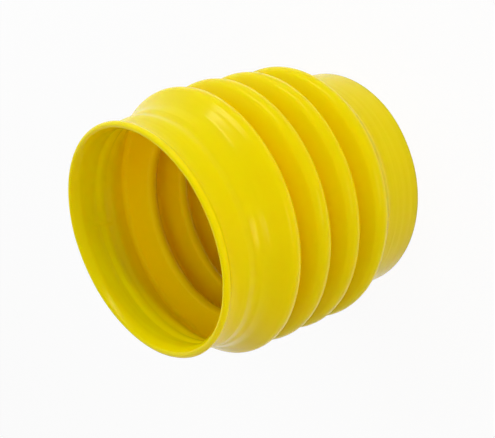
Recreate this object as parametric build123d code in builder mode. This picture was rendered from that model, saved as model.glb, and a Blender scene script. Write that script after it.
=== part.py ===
"""Rubber bellows boot: one moulded tube with a flared lip, a clamp neck, a cuff, four rolls and a sleeve.

The boot stands on its plain sleeve at z = 0, with its mouth up and its axis along +Z. Sizes are in
millimetres. The middle of the wall is drawn as one line from the foot up to the lip. Half the wall is
added on each side of it, which leaves the lip full round, and the section is turned about the axis.
"""
from build123d import *
from math import acos, asin, atan2, cos, degrees, hypot, radians, sin
import os

# Whole boot: radii are measured on the outside of the wall, unless they are named as a bore
boot_length = 200.0
wall = 4.0
body_radius = 90.9

# Rolls: all alike, round at the crest and tight in the valley, above and below body_radius
roll_count = 4
roll_pitch = 30.6
roll_rise = 12.4
valley_drop = 9.2
crest_round = 7.5
valley_round = 1.5
top_crest_depth = 54.2

# Plain sleeve below the rolls, the seat of one clamp, which takes up what is left of the length
sleeve_bore_radius = 87.5
root_slope = 36.0
root_round = 7.5

# Cuff above the rolls: steps out from body_radius, or in where negative, and depths below the mouth
hollow_step = 2.8
hollow_depth = 39.4
hollow_round = 18.0
ledge_step = 1.1
ledge_depth = 32.1
ledge_round = 12.0
waist_step = -1.1
waist_depth = 27.2
waist_round = 8.0
shoulder_step = -0.6
shoulder_depth = 21.8
shoulder_round = 4.2

# Clamp neck, the seat of the other clamp, and the flared lip bead that keeps that clamp on
neck_bore_radius = 84.0
neck_depth = 6.8
neck_length = 6.4
neck_round = 1.6
lip_radius = 91.2
lip_round = 2.6
lip_blend = 3.0

# The same sizes on the middle of the wall
half_wall = wall / 2
body_line = body_radius - half_wall
valley_line = body_line - valley_drop
sleeve_line = sleeve_bore_radius + half_wall
neck_line = neck_bore_radius + half_wall
crest_arc = crest_round - half_wall
valley_arc = valley_round + half_wall
root_arc = root_round + half_wall

# Arc centres: how far each is from the axis, and the heights of the top and the lowest crest
crest_centre = body_line + roll_rise - crest_arc
valley_centre = valley_line + valley_arc
root_centre = sleeve_line + root_arc
top_crest_height = boot_length - top_crest_depth
lowest_crest_height = top_crest_height - (roll_count - 1) * roll_pitch

# A flank touches a crest arc and the valley arc that is half a pitch away
valley_lean = atan2(crest_centre - valley_centre, roll_pitch / 2)
valley_gap = hypot(crest_centre - valley_centre, roll_pitch / 2)
flank_slope = degrees(valley_lean + asin((crest_arc + valley_arc) / valley_gap))

# The lowest flank leans less than the others, and its root arc meets the straight sleeve
root_drop = crest_arc + root_arc + (crest_centre - root_centre) * cos(radians(root_slope))
root_height = lowest_crest_height - root_drop / sin(radians(root_slope))

# The top flank touches the top crest arc and runs up to the corner of the hollow
hollow_in = body_line + hollow_step - crest_centre
hollow_up = top_crest_depth - hollow_depth
top_slope = degrees(atan2(hollow_up, hollow_in) - acos(crest_arc / hypot(hollow_in, hollow_up)))

# Corners of the cuff, the neck and the lip, from the top flank upwards
cuff_corners = [
    (body_line + hollow_step, boot_length - hollow_depth),
    (body_line + ledge_step, boot_length - ledge_depth),
    (body_line + waist_step, boot_length - waist_depth),
    (body_line + shoulder_step, boot_length - shoulder_depth),
    (neck_line, boot_length - neck_depth - neck_length),
    (neck_line, boot_length - neck_depth),
]
cuff_rounds = [
    hollow_round + half_wall,
    ledge_round - half_wall,
    waist_round + half_wall,
    shoulder_round - half_wall,
    neck_round + half_wall,
    neck_round + half_wall,
]
lip_centre = (lip_radius - lip_round, boot_length - lip_round)


with BuildPart() as bellows_boot:
    with BuildSketch(Plane.XZ) as section:
        with BuildLine() as wall_line:
            # Sleeve, drawn past the foot so that the foot is cut square
            Line((sleeve_line, -wall), (sleeve_line, root_height))
            below = CenterArc((root_centre, root_height), root_arc, 180, -root_slope)

            # Rolls: each crest is joined by a straight flank to the arc below it
            for roll in range(roll_count):
                is_top = roll == roll_count - 1
                lower_slope = root_slope if roll == 0 else flank_slope
                upper_slope = top_slope if is_top else flank_slope
                crest_height = lowest_crest_height + roll * roll_pitch
                crest_middle = (crest_centre, crest_height)
                crest = CenterArc(crest_middle, crest_arc, -lower_slope, lower_slope + upper_slope)
                Line(below @ 1, crest @ 0)
                if not is_top:
                    valley_middle = (valley_centre, crest_height + roll_pitch / 2)
                    below = CenterArc(valley_middle, valley_arc, 180 + flank_slope, -2 * flank_slope)
                    Line(crest @ 1, below @ 0)

            # Cuff, neck and flared lip
            FilletPolyline(crest @ 1, *cuff_corners, lip_centre, radius=cuff_rounds)
            offset(amount=half_wall, kind=Kind.ARC)
        make_face()

        # The bead at the lip, thicker than the wall and blended into it
        with Locations(Location(lip_centre, 180)):
            Circle(lip_round)
        bead_joins = section.vertices().sort_by_distance(lip_centre)[:2]
        fillet(bead_joins, radius=lip_blend)
    revolve(axis=Axis.Z)
    split(bisect_by=Plane.XY, keep=Keep.TOP)

bellows_boot.part.label = "bellows_boot"
os.makedirs("parts", exist_ok=True)
export_step(bellows_boot.part, "parts/bellows_boot.step")

print("flanks slope", round(flank_slope, 1), "degrees from the axis, the top one", round(top_slope, 1))
print("straight sleeve", round(root_height, 2), "mm, size", bellows_boot.part.bounding_box().size)
print("volume", round(bellows_boot.part.volume / 1000, 1), "cubic centimetres")
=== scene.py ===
# %% [markdown]
# # A yellow rubber bellows boot
# The real boot is one moulding: a stiff but flexible rubber tube with a flared lip, a neck for a hose
# clamp, a cuff, four rolls that let it stretch and squash, and a plain sleeve for a second clamp.
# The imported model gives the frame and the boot's length, and the other sizes are set below. The lesson
# draws the wall in section, turns it about the axis, lets the mouth sag as soft rubber does, and gives it
# a glossy yellow skin.

# %% Load the frame
import math

import bpy
from mathutils import Matrix, Vector


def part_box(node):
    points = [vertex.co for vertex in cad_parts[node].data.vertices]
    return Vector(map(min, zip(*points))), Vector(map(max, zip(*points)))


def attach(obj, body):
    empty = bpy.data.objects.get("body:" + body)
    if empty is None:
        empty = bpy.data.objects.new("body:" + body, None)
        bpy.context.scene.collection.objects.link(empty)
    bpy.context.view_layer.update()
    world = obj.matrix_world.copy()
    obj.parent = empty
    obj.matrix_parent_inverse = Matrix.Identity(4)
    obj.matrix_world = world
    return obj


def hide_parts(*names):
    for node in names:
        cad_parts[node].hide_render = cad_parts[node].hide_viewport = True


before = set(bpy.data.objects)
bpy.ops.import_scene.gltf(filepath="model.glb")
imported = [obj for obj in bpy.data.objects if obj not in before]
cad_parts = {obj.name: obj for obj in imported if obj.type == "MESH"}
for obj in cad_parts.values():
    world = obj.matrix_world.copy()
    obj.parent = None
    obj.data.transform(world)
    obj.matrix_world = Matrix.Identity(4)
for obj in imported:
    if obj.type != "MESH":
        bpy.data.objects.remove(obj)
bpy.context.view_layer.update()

mm = 0.001
low_corner, high_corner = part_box("bellows_boot")
boot_length = high_corner.z - low_corner.z
print("the boot is", round(boot_length / mm, 1), "mm long and", round(2 * high_corner.x / mm, 1), "mm across")

# %% [markdown]
# ## Where it is looked at from
# The boot is seen lying on its side, with its mouth turned to the lower left. The frame stands it on its
# sleeve, so the camera is rolled instead of the boot, until its right points more down the boot's axis than
# across it. The three directions below are the camera's own right, up and back.

# %% Camera
camera_right = Vector((-0.2896, -0.5876, -0.7556))
camera_up = Vector((0.9570, -0.1633, -0.2398))
camera_back = Vector((0.0175, -0.7925, 0.6096))
camera_place = Vector((0.0012, -0.4584, 0.4523))
camera_turn = Matrix((camera_right, camera_up, camera_back)).transposed().to_4x4()

camera_lens = bpy.data.cameras.new("camera")
camera_lens.lens = 53.8
camera_lens.sensor_width = 36
camera = bpy.data.objects.new("camera", camera_lens)
camera.matrix_world = Matrix.Translation(camera_place) @ camera_turn
bpy.context.scene.collection.objects.link(camera)
bpy.context.scene.camera = camera
print("the camera stands at", tuple(round(place, 3) for place in camera.location))

# %% [markdown]
# ## The wall in section
# A lathe, a mould and a spin all start from the same drawing: half a section beside the axis. Only the
# middle of the wall is drawn, as one line from the foot up to the lip, because Solidify can give it both
# faces later. These are its sizes: radii are to the middle of the wall, and each arc's radius is too.

# %% Sizes of the section
wall = 4.0 * mm
half_wall = wall / 2
crest_line = 101.3 * mm
valley_line = 79.7 * mm
sleeve_line = 89.5 * mm
roll_count = 4
roll_pitch = 30.6 * mm
crest_arc = 5.5 * mm
valley_arc = 3.5 * mm
root_arc = 9.5 * mm
top_crest_depth = 54.2 * mm
top_crest_height = boot_length - top_crest_depth
lowest_crest_height = top_crest_height - (roll_count - 1) * roll_pitch
crest_centre = crest_line - crest_arc
valley_centre = valley_line + valley_arc
root_centre = sleeve_line + root_arc
crest_heights = [lowest_crest_height + roll * roll_pitch for roll in range(roll_count)]
print("the crests stand at", [round(height / mm, 1) for height in crest_heights], "mm")

# %% [markdown]
# ## The cuff and the neck
# Above the rolls the wall narrows in steps. A hollow and a ledge stiffen the cuff, a waist and a shoulder
# stop the clamp from creeping down, and the neck is the straight seat that the clamp pulls tight. Each
# corner has a radius, a depth below the mouth and a round, all in millimetres. The lip flares out above
# them and ends in a bead.

# %% Corners of the cuff, the neck and the lip
cuff_corners = [
    (91.7, 39.4, 20.0),
    (90.0, 32.1, 10.0),
    (87.8, 27.2, 10.0),
    (88.3, 21.8, 5.0),
    (86.0, 13.2, 20.0),
    (86.0, 6.8, 8.0),
]
cuff_points = [Vector((radius * mm, 0, boot_length - depth * mm)) for radius, depth, _ in cuff_corners]
lip_round = 2.6 * mm
lip_line = 88.6 * mm
lip_centre = Vector((lip_line, 0, boot_length - lip_round))
lip_end = lip_centre + (lip_centre - cuff_points[-1]).normalized() * lip_round
print("the cuff has", len(cuff_corners), "corners, and the lip ends", round(lip_end.x / mm, 1), "mm out")

# %% [markdown]
# ## How steep the rolls are
# Nobody sets the slope of a flank by hand: it follows from the rounds. A flank is the straight line that
# touches the arc of a crest and the arc of the valley half a pitch away, so its slope comes from the line
# between the two centres and from both radii. The lowest flank leans less, and the top one ends at the
# hollow of the cuff. All slopes are measured from the axis.

# %% Slopes of the flanks
centre_lean = math.atan2(crest_centre - valley_centre, roll_pitch / 2)
centre_gap = math.hypot(crest_centre - valley_centre, roll_pitch / 2)
flank_slope = centre_lean + math.asin((crest_arc + valley_arc) / centre_gap)
root_slope = math.radians(36)
root_drop = crest_arc + root_arc + (crest_centre - root_centre) * math.cos(root_slope)
root_height = lowest_crest_height - root_drop / math.sin(root_slope)
hollow_in = cuff_points[0].x - crest_centre
hollow_up = cuff_points[0].z - top_crest_height
top_slope = math.atan2(hollow_up, hollow_in) - math.acos(crest_arc / math.hypot(hollow_in, hollow_up))
print("flanks slope", [round(math.degrees(slope), 1) for slope in (root_slope, flank_slope, top_slope)])

# %% [markdown]
# ## A pen that draws with modelling tools
# The line is drawn by moving one selected point. A straight run is that point extruded in short rows, and
# a round is the point spun about the round's centre, so each round is a true arc. Drawing this way keeps
# the rows even, which Solidify and the sag both need. The pen's place is kept as the line grows.

# %% Drawing helpers
row_height = 4 * mm
arc_step = math.radians(9)
section_normal = Vector((0, 1, 0))


def run_to(end):
    """Extrudes the pen point in a straight run, in rows no higher than row_height."""
    global pen
    rows = max(1, math.ceil((end - pen).length / row_height))
    step = (end - pen) / rows
    for _ in range(rows):
        bpy.ops.mesh.extrude_region_move(TRANSFORM_OT_translate={"value": step})
    pen = end


def turn_about(centre, angle):
    """Spins the pen point about a centre, anticlockwise where the angle is positive."""
    global pen
    steps = max(2, math.ceil(abs(angle) / arc_step))
    bpy.ops.mesh.spin(steps=steps, angle=angle, center=centre, axis=section_normal)
    pen = centre + Matrix.Rotation(-angle, 3, section_normal) @ (pen - centre)


def on_arc(centre, radius, angle):
    return centre + Vector((radius * math.cos(angle), 0, radius * math.sin(angle)))


def round_corner(corner, towards, round_size):
    """Runs up to a corner and turns through its round towards the next corner."""
    arriving = (corner - pen).normalized()
    leaving = (towards - corner).normalized()
    turn = arriving.angle(leaving)
    run_to(corner - arriving * round_size * math.tan(turn / 2))
    centre = corner + (leaving - arriving).normalized() * round_size / math.cos(turn / 2)
    leftwards = arriving.x * leaving.z - arriving.z * leaving.x > 0
    turn_about(centre, turn if leftwards else -turn)


print("the pen draws rows of", round(row_height / mm, 1), "mm at most")
print("and arc steps of", round(math.degrees(arc_step)), "degrees at most")

# %% [markdown]
# ## From the foot to the lip
# The pen starts at the foot of the sleeve, turns outward into the lowest roll, follows the four rolls and
# the three valleys between them, and then the steps of the cuff, the clamp neck and the flare of the lip.

# %% Draw the middle of the wall
bpy.ops.object.select_all(action="DESELECT")
foot = Vector((sleeve_line, 0, 0))
bpy.ops.mesh.primitive_plane_add(size=wall, location=foot)
boot = bpy.context.object
boot.name = "rubber_boot"
bpy.ops.object.transform_apply(location=True, rotation=True, scale=True)
bpy.ops.object.mode_set(mode="EDIT")
bpy.ops.mesh.select_all(action="SELECT")
bpy.ops.mesh.merge(type="CENTER")
pen = foot

run_to(Vector((sleeve_line, 0, root_height)))
turn_about(Vector((root_centre, 0, root_height)), -root_slope)
for roll, crest_height in enumerate(crest_heights):
    centre = Vector((crest_centre, 0, crest_height))
    lower_slope = root_slope if roll == 0 else flank_slope
    upper_slope = top_slope if roll == roll_count - 1 else flank_slope
    run_to(on_arc(centre, crest_arc, -lower_slope))
    turn_about(centre, lower_slope + upper_slope)
    if roll < roll_count - 1:
        valley = Vector((valley_centre, 0, crest_height + roll_pitch / 2))
        run_to(on_arc(valley, valley_arc, math.pi + flank_slope))
        turn_about(valley, -2 * flank_slope)

for corner, towards, (_, _, round_size) in zip(cuff_points, cuff_points[1:] + [lip_end], cuff_corners):
    round_corner(corner, towards, round_size * mm)
run_to(lip_end)
bpy.ops.object.mode_set(mode="OBJECT")
print("the section has", len(boot.data.vertices), "points and ends at", [round(size / mm, 2) for size in pen])

# %% [markdown]
# ## Turned about the axis
# Spinning the line through a full turn gives a skin with no thickness. The first and the last column fall
# on each other, so they are merged into one to close the seam.

# %% Turn the section
columns = 192
bpy.ops.object.mode_set(mode="EDIT")
bpy.ops.mesh.select_all(action="SELECT")
bpy.ops.mesh.spin(steps=columns, angle=math.tau, center=(0, 0, 0), axis=(0, 0, 1))
bpy.ops.mesh.select_all(action="SELECT")
bpy.ops.mesh.remove_doubles(threshold=0.01 * mm)
bpy.ops.mesh.normals_make_consistent(inside=False)
bpy.ops.object.mode_set(mode="OBJECT")
print("the turned skin has", len(boot.data.polygons), "faces")

# %% [markdown]
# ## Wall and lip bead
# Rubber is moulded to an even wall, but the mouth ends in a bead a little thicker than the wall, which
# keeps a clamp from slipping off and the edge from tearing. A vertex group tells Solidify how thick the
# wall is at each height, and a bevel rolls the end over into a full round.

# %% Wall thickness
bead_blend = 7 * mm
thickness = boot.vertex_groups.new(name="thickness")
for vertex in boot.data.vertices:
    below_bead = lip_centre.z - vertex.co.z
    swell = min(1, max(0, 1 - below_bead / bead_blend))
    thickness.add([vertex.index], (half_wall + (lip_round - half_wall) * swell) / lip_round, "REPLACE")
thicken = boot.modifiers.new("wall", "SOLIDIFY")
thicken.vertex_group = thickness.name
thicken.thickness = 2 * lip_round
thicken.offset = 0
thicken.use_even_offset = True
thicken.use_quality_normals = True
bpy.ops.object.modifier_apply(modifier=thicken.name)
print("with its wall the boot has", len(boot.data.polygons), "faces")

# %% [markdown]
# ## Picking parts by where they are
# A modeller clicks the edges to work on. A script has no mouse, so it picks them by place: every part of
# the boot is tested, and those that pass are left selected in edit mode, ready for the next tool. Places
# that are worked out are never quite equal, so those closer than slack count as the same.

# %% Selecting helpers
slack = 0.05 * mm


def select_parts(kind, wanted):
    """Selects the vertices or edges of the boot for which wanted is true, and stays in edit mode."""
    bpy.ops.object.mode_set(mode="EDIT")
    bpy.ops.mesh.select_mode(type=kind)
    bpy.ops.mesh.select_all(action="DESELECT")
    bpy.ops.object.mode_set(mode="OBJECT")
    parts = boot.data.vertices if kind == "VERT" else boot.data.edges
    for part in parts:
        part.select = wanted(part)
    bpy.ops.object.mode_set(mode="EDIT")


def ends_of(edge):
    return [boot.data.vertices[index].co for index in edge.vertices]


def on_ring_between(low, high):
    """Makes a test for edges that run around the boot between two heights."""
    def wanted(edge):
        first, second = ends_of(edge)
        level = abs(first.z - second.z) < slack
        around = abs(math.hypot(first.x, first.y) - math.hypot(second.x, second.y)) < slack
        return level and around and low < first.z < high
    return wanted


at_foot = on_ring_between(-0.1 * mm, 0.1 * mm)
foot_edges = [edge for edge in boot.data.edges if at_foot(edge)]
print("the foot has", len(foot_edges), "edges in its two rings")

# %% [markdown]
# ## The rolled lip and the cut foot
# The mouth of the mould is rounded, so the bead of the lip is a full round with no corner to tear from.
# The foot is trimmed off square and is only a little blunt. Both start as two square corners. The lip's
# are bevelled by nearly half the bead each, so the rounds almost meet, and the foot's by half a millimetre.

# %% Round the lip over, and take the sharpness off the foot
lip_reach = 1.05 * lip_round
lip_bevel = 0.96 * lip_round
foot_bevel = 0.5 * mm


def on_lip_corner(edge):
    first, second = ends_of(edge)
    level = abs(first.z - second.z) < slack
    from_end = math.hypot(math.hypot(first.x, first.y) - lip_end.x, first.z - lip_end.z)
    return level and from_end < lip_reach


select_parts("EDGE", on_lip_corner)
print("the lip's two corners have", sum(edge.select for edge in boot.data.edges), "edges")
bpy.ops.mesh.bevel(offset=lip_bevel, segments=6, profile=0.5, affect="EDGES")
select_parts("EDGE", at_foot)
bpy.ops.mesh.bevel(offset=foot_bevel, segments=2, profile=0.5, affect="EDGES")
bpy.ops.object.mode_set(mode="OBJECT")
print("the lip's top is at", round(max(vertex.co.z for vertex in boot.data.vertices) / mm, 2), "mm")

# %% [markdown]
# ## The mark of the core
# The core inside the mould was made in two halves, and rubber creeps into the joint between them. It
# leaves a fine raised line down the inside of the cuff. One column of edges on the inner face is bevelled
# into a strip, and the middle of that strip is lifted off the wall. The outer face has points at the same
# radius near the neck, so the points to lift are picked by which way they face as well.

# %% Core line
core_column = math.radians(105)
core_low = boot_length - 42 * mm
core_high = boot_length - 16 * mm
core_width = 0.6 * mm
core_lift = 0.8 * mm
inner_nearest = 80 * mm
edges_furthest = 88.6 * mm
points_furthest = 89.5 * mm
core_side = Vector((math.cos(core_column), math.sin(core_column), 0))


def in_core_column(place):
    beside = abs(place.x * core_side.y - place.y * core_side.x) < slack
    return beside and core_low < place.z < core_high


def on_core_line(edge):
    ends = ends_of(edge)
    inner = all(inner_nearest < end.dot(core_side) < edges_furthest for end in ends)
    return inner and all(in_core_column(end) for end in ends)


select_parts("EDGE", on_core_line)
bpy.ops.mesh.bevel(offset=core_width, segments=2, profile=0.5, affect="EDGES")
bpy.ops.object.mode_set(mode="OBJECT")


def on_core_top(vertex):
    near_enough = inner_nearest < vertex.co.dot(core_side) < points_furthest
    faces_in = vertex.normal.dot(core_side) < 0
    return near_enough and faces_in and in_core_column(vertex.co)


select_parts("VERT", on_core_top)
core_points = sum(vertex.select for vertex in boot.data.vertices)
bpy.ops.transform.translate(value=-core_lift * core_side)
bpy.ops.object.mode_set(mode="OBJECT")
print("the core line has", core_points, "points")

# %% [markdown]
# ## Painted shade and light by how deep each point lies
# Light that falls into a fold of yellow rubber is thrown from wall to wall, and each throw takes some of
# the green out of it, so recesses look orange. Here that shade is painted into the colour: the skin is given
# a number that says how much painted shade a point gets. Inside, it falls to nearly nothing 15 mm below the
# lip, as painted light where light shines through the wall, and is 1 from 60 mm down. Outside, it is 0.6,
# and up to 1 in the bottom of the valleys. The material reads it.

# %% Painted shade and light of the deep parts
valley_face = valley_line + half_wall
crest_face = crest_line + half_wall
cuff_foot = boot_length - 44 * mm
open_painted_shade = 0.6
painted_light_reach = 25 * mm
painted_shade_depth = 60 * mm
edge_on = 0.2
# Painted shade: a high number paints the base colour orange in the valleys and the depths, and a low one
# paints it paler just inside the lip.
painted_shade = boot.data.attributes.new("painted_shade", "FLOAT", "POINT")
for vertex in boot.data.vertices:
    place = vertex.co
    radius = math.hypot(place.x, place.y)
    outward = (place.x * vertex.normal.x + place.y * vertex.normal.y) / radius
    inside = min(1, max(0, 0.5 - outward / (2 * edge_on)))
    among_rolls = root_height < place.z < cuff_foot
    fold = max(0, crest_face - radius) / (crest_face - valley_face) if among_rolls else 0
    depth = max(0, boot_length - place.z)
    # Painted light near the lip inside, painted shade from 60 mm down.
    inner_painted_shade = max(open_painted_shade - depth / painted_light_reach, min(1, depth / painted_shade_depth) ** 2.5)
    outer_painted_shade = open_painted_shade + (1 - open_painted_shade) * fold ** 2
    painted_shade.data[vertex.index].value = inside * inner_painted_shade + (1 - inside) * outer_painted_shade
print("the most enclosed point has", round(max(number.value for number in painted_shade.data), 2))

# %% [markdown]
# ## Soft rubber sags
# A boot this large doesn't hold its mouth round when it lies on its side: the mouth spreads wide and
# flat, and less so further down. Proportional editing with a sharp falloff does the same: the lip is
# squeezed and widened, and the rest follows less and less. The far end is a trifle taller than wide, so
# the whole boot is resized a little the other way, and then turned to lie with its mouth's wide way level.
# At last the mouth leans about a millimetre towards the side that is seen.

# %% Sag of the mouth
sag_turn = math.radians(26.5)
lip_sag = 0.088
far_bulge = -0.007
sag_reach = 152 * mm
lean = Vector((-0.1, -1.25, 0)) * mm
lean_reach = 90 * mm
lip_band = 1.5 * mm


def on_lip(vertex):
    return vertex.co.z > boot_length - lip_band


select_parts("VERT", on_lip)
bpy.ops.transform.resize(
    value=(1 - lip_sag + far_bulge, 1 + lip_sag - far_bulge, 1), center_override=(0, 0, boot_length),
    use_proportional_edit=True, proportional_edit_falloff="SHARP", proportional_size=sag_reach)
bpy.ops.mesh.select_all(action="SELECT")
bpy.ops.transform.resize(value=(1 - far_bulge, 1 + far_bulge, 1), center_override=(0, 0, 0))
bpy.ops.transform.rotate(value=sag_turn, orient_axis="Z", center_override=(0, 0, 0))
bpy.ops.object.mode_set(mode="OBJECT")
select_parts("VERT", on_lip)
bpy.ops.transform.translate(
    value=lean, use_proportional_edit=True, proportional_edit_falloff="SHARP", proportional_size=lean_reach)
bpy.ops.object.mode_set(mode="OBJECT")
mouth_radii = [vertex.co.xy.length / mm for vertex in boot.data.vertices if on_lip(vertex)]
print("the mouth's radius runs from", round(min(mouth_radii), 1), "to", round(max(mouth_radii), 1), "mm")

# %% [markdown]
# ## Not quite even
# Rubber shrinks unevenly as it cools, so a highlight on it never runs quite straight. A cloud texture
# pushes the skin in and out by a fraction of a millimetre, too little to change the outline.

# %% Unevenness
bpy.ops.object.select_all(action="DESELECT")
boot.select_set(True)
bpy.context.view_layer.objects.active = boot
ripple = bpy.data.textures.new("ripple", "CLOUDS")
ripple.noise_scale = 45 * mm
ripple.noise_depth = 1
shrink = boot.modifiers.new("shrink", "DISPLACE")
shrink.texture = ripple
shrink.texture_coords = "LOCAL"
shrink.mid_level = 0.5
shrink.strength = 0.5 * mm
bpy.ops.object.modifier_apply(modifier=shrink.name)
bpy.ops.object.shade_smooth()
triangles = sum(len(face.vertices) - 2 for face in boot.data.polygons)
print("the finished boot has", triangles, "triangles")

# %% [markdown]
# ## Yellow rubber
# Rubber of this kind is coloured right through and lets some light in, so thin walls glow and shade is
# soft: red light travels furthest in it, and blue hardly at all. Subsurface scattering does this. The
# colour ramp also paints light and shade: it turns the painted shade number into a base colour, from a
# painted pale yellow just inside the lip over the yellow of the outside to a painted orange shade in the
# depths.

# %% Rubber
rubber = bpy.data.materials.new("yellow_rubber")
rubber.use_nodes = True
rubber_nodes = rubber.node_tree.nodes
rubber_links = rubber.node_tree.links
skin = rubber_nodes["Principled BSDF"]
skin.inputs["Roughness"].default_value = 0.2
skin.inputs["Specular IOR Level"].default_value = 0.1
skin.inputs["Specular Tint"].default_value = (1.0, 0.95, 0.4, 1)
skin.inputs["Subsurface Weight"].default_value = 0.8
skin.inputs["Subsurface Radius"].default_value = (1.0, 0.7, 0.05)
skin.inputs["Subsurface Scale"].default_value = 15 * mm
painted_shade_reader = rubber_nodes.new("ShaderNodeAttribute")
painted_shade_reader.attribute_name = "painted_shade"
painted_shade_colours = rubber_nodes.new("ShaderNodeValToRGB")
# Painted light and shade: the first stop is the painted pale yellow just inside the lip, the second the
# painted orange shade of the valleys and the depths.
painted_shade_colours.color_ramp.elements[0].color = (1.0, 0.785, 0.0, 1)
painted_shade_colours.color_ramp.elements[1].color = (0.96, 0.625, 0.0, 1)
rubber_links.new(painted_shade_reader.outputs["Fac"], painted_shade_colours.inputs["Fac"])
rubber_links.new(painted_shade_colours.outputs["Color"], skin.inputs["Base Color"])
boot.data.materials.clear()
boot.data.materials.append(rubber)
print("the boot's material is", boot.data.materials[0].name)

# %% [markdown]
# ## Marks of the turned mould
# The mould was turned on a lathe, and the cutter left faint rings that the rubber copied. They are far too
# shallow to model and only break a highlight into thin lines. Noise stretched around the boot, and fine
# along its axis, gives the rings, and a bump node turns it into relief.

# %% Ring relief
ring_place = rubber_nodes.new("ShaderNodeTexCoord")
ring_stretch = rubber_nodes.new("ShaderNodeMapping")
ring_stretch.inputs["Scale"].default_value = (7, 7, 180)
ring_marks = rubber_nodes.new("ShaderNodeTexNoise")
ring_marks.inputs["Scale"].default_value = 1.0
ring_marks.inputs["Detail"].default_value = 1.0
ring_relief = rubber_nodes.new("ShaderNodeBump")
ring_relief.inputs["Strength"].default_value = 0.5
ring_relief.inputs["Distance"].default_value = 0.9 * mm
rubber_links.new(ring_place.outputs["Object"], ring_stretch.inputs["Vector"])
rubber_links.new(ring_stretch.outputs["Vector"], ring_marks.inputs["Vector"])
rubber_links.new(ring_marks.outputs["Fac"], ring_relief.inputs["Height"])
rubber_links.new(ring_relief.outputs["Normal"], skin.inputs["Normal"])
print("the rubber has", len(rubber_nodes), "nodes and", len(rubber_links), "links")

# %% [markdown]
# ## What counts as seeing the background
# A white background should look white without lighting the boot like a lamp. So the floor and the room
# are shown white only to the rays that see a background: those from the camera, and those that gloss and
# glass send on. Light Path tells the rays apart, and this helper adds the three kinds up for both of them.

# %% Background rays


def seen_rays(nodes, links):
    """Gives an output that is 1 for rays that see a background, and 0 for rays that light things."""
    rays = nodes.new("ShaderNodeLightPath")
    seen = rays.outputs["Is Camera Ray"]
    for kind in ("Is Glossy Ray", "Is Transmission Ray"):
        either = nodes.new("ShaderNodeMath")
        either.operation = "MAXIMUM"
        links.new(seen, either.inputs[0])
        links.new(rays.outputs[kind], either.inputs[1])
        seen = either.outputs[0]
    return seen


print("the camera, gloss and glass see the background")

# %% [markdown]
# ## White paper to stand on
# The floor is plain matt white paper, just under the foot. To the rays that see a background it also
# glows, so it looks white while the boot gets no more light from it than from paper. The glow is mixed in
# nearly whole, and what is left of the matt paper keeps a little of the boot's shadow.

# %% Floor
floor_width = 8
floor_gap = 0.2 * mm
glow_part = 0.93
bpy.ops.object.select_all(action="DESELECT")
bpy.ops.mesh.primitive_plane_add(size=floor_width, location=(0, 0, -floor_gap))
floor = bpy.context.object
floor.name = "floor"
paper = bpy.data.materials.new("white_floor")
paper.use_nodes = True
paper_nodes = paper.node_tree.nodes
paper_links = paper.node_tree.links
matt_white = paper_nodes["Principled BSDF"]
matt_white.inputs["Base Color"].default_value = (0.9, 0.9, 0.9, 1)
matt_white.inputs["Roughness"].default_value = 0.9
glow = paper_nodes.new("ShaderNodeEmission")
glow.inputs["Strength"].default_value = 1.0
glow_share = paper_nodes.new("ShaderNodeMath")
glow_share.operation = "MULTIPLY"
glow_share.inputs[1].default_value = glow_part
paper_mix = paper_nodes.new("ShaderNodeMixShader")
paper_links.new(seen_rays(paper_nodes, paper_links), glow_share.inputs[0])
paper_links.new(glow_share.outputs[0], paper_mix.inputs["Fac"])
paper_links.new(matt_white.outputs["BSDF"], paper_mix.inputs[1])
paper_links.new(glow.outputs["Emission"], paper_mix.inputs[2])
paper_links.new(paper_mix.outputs["Shader"], paper_nodes["Material Output"].inputs["Surface"])
floor.data.materials.append(paper)
print("the floor is", round(floor.dimensions.x, 1), "m wide")

# %% [markdown]
# ## The room around the boot
# A dim grey room fills the shade a little. The rays that see a background are shown white instead, so
# the paper has no dark horizon, and the skin mirrors the same white that stands behind it.

# %% Room
dim_grey = (0.07, 0.07, 0.07, 1)
plain_white = (1, 1, 1, 1)
world = bpy.data.worlds.new("studio")
bpy.context.scene.world = world
world.use_nodes = True
room_nodes = world.node_tree.nodes
room_links = world.node_tree.links
room_colour = room_nodes.new("ShaderNodeMix")
room_colour.data_type = "RGBA"
room_colour.inputs["A"].default_value = dim_grey
room_colour.inputs["B"].default_value = plain_white
room_links.new(seen_rays(room_nodes, room_links), room_colour.inputs["Factor"])
room_links.new(room_colour.outputs["Result"], room_nodes["Background"].inputs["Color"])
print("the room has", len(room_nodes), "nodes")

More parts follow.
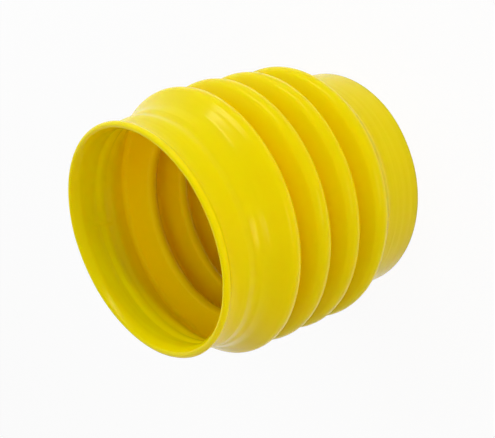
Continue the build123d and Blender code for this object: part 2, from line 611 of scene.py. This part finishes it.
# %% [markdown]
# ## Lamps
# Big soft boxes light the boot from the mouth's side, from above it as it lies and from the camera, and
# leave the valleys in soft shade. Only the two long thin lamps show in the gloss: one draws the soft
# streaks on the side of the cuff, and the other the broad patch of fine lines near its top. Azimuth and
# elevation are seen from the middle of the boot, and power is in watts.

# %% Lamps
lamp_distance = 1.5


def soft_box(name, azimuth, elevation, size, power, warmth=0.0, mirrored=False):
    """Hangs a lamp facing the boot, and shows it in the gloss only where mirrored."""
    lamp = bpy.data.lights.new(name, "AREA")
    lamp.shape = "RECTANGLE"
    lamp.size, lamp.size_y = size
    lamp.energy = power
    lamp.color = (1, 1 - warmth, 1 - warmth)
    holder = bpy.data.objects.new(name, lamp)
    holder.visible_glossy = mirrored
    around = math.radians(azimuth)
    above = math.radians(elevation)
    sideways = math.cos(above)
    towards = Vector((math.cos(around) * sideways, math.sin(around) * sideways, math.sin(above)))
    holder.location = Vector((0, 0, boot_length / 2)) + lamp_distance * towards
    holder.rotation_euler = towards.to_track_quat("Z", "Y").to_euler()
    bpy.context.scene.collection.objects.link(holder)
    return holder


lamps = [
    soft_box("into_the_mouth", 0, 89, (1.2, 1.2), 2.5),
    soft_box("wide_over_mouth", 0, 89, (4.0, 4.0), 14),
    soft_box("onto_left_wall", -110, 50, (0.8, 0.8), 2.3),
    soft_box("top_back", 30, 15, (1.2, 1.2), 9.0),
    soft_box("top_front", -26.5, 60, (1.2, 1.2), 1.6),
    soft_box("from_the_camera", -84, 37, (1.0, 1.0), 3.6),
    soft_box("below", 153.5, 45, (1.2, 1.2), 0.65, warmth=0.25),
    soft_box("side_streaks", -103, 2, (0.6, 0.04), 5.0, warmth=0.2, mirrored=True),
    soft_box("top_streaks", -16, 18, (0.8, 0.04), 6.0, mirrored=True),
]
bpy.context.scene.view_settings.view_transform = "Standard"
print(len(lamps), "lamps give", round(sum(holder.data.energy for holder in lamps), 1), "watts")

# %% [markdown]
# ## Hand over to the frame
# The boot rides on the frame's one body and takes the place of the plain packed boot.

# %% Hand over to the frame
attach(boot, "root")
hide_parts("bellows_boot")
